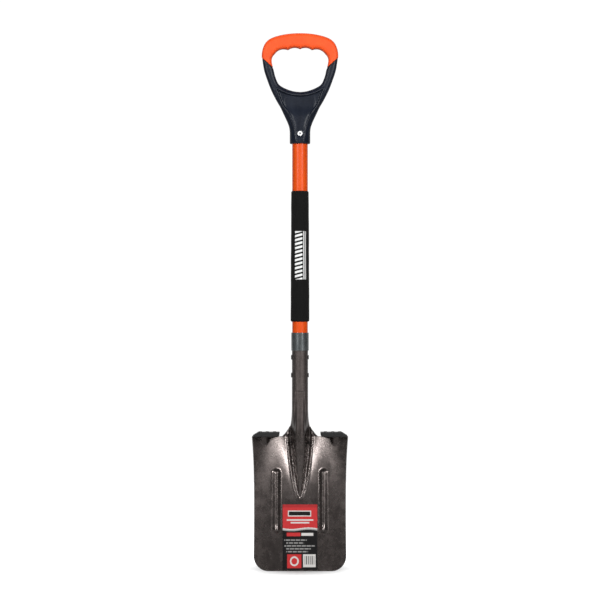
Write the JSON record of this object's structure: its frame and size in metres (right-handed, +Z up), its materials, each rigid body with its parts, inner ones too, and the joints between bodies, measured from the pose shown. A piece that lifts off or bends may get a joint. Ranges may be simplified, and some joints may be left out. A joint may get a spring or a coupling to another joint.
{
  "type": "garden spade",
  "caption": "D-handled garden spade: dished steel blade with forward steps and rubber treads, fibreglass shaft, foam sleeve and two-tone hand grip.",
  "frame": {"origin": "middle of the cutting edge, where the spade meets the ground when it stands on its blade", "axes": "+Z up, parallel to the shaft, from the cutting edge to the grip (the shaft axis stands at y = +0.0334 m), -Y out of the digging (concave) face, +X to the right of someone facing it"},
  "size_m": [0.1952, 0.0577, 1.1004],
  "materials": {
    "hammertone_steel": "clear-lacquered hot-rolled sheet steel, brown-grey, semi-gloss",
    "label_film": null,
    "tread_rubber": "matte black rubber with a fine grain",
    "bright_steel": "bright plated steel",
    "zinc_steel": "zinc-plated tube, drawn along its length",
    "dark_steel": "dull dark steel",
    "orange_fibreglass": "gloss orange fibreglass",
    "core_plastic": "plain moulded plastic, unseen",
    "black_foam": "soft closed-cell black foam",
    "black_plastic": "glass-filled black plastic, semi-gloss",
    "orange_rubber": "soft-touch orange elastomer"
  },
  "bodies": {
    "root": {"blade": "hammertone_steel", "blade_label": "label_film", "left_tread": "tread_rubber", "right_tread": "tread_rubber", "left_tread_rivets": "bright_steel", "right_tread_rivets": "bright_steel", "socket_rivets": "bright_steel", "ferrule_collar": "zinc_steel", "shaft": "orange_fibreglass", "lower_core_plug": "core_plastic", "upper_core_plug": "core_plastic", "foam_grip": "black_foam", "grip_frame": "black_plastic", "grip_overmould": "orange_rubber", "grip_rivet": "bright_steel", "grip_rivet_mandrel": "dark_steel"}
  },
  "joints": []
}
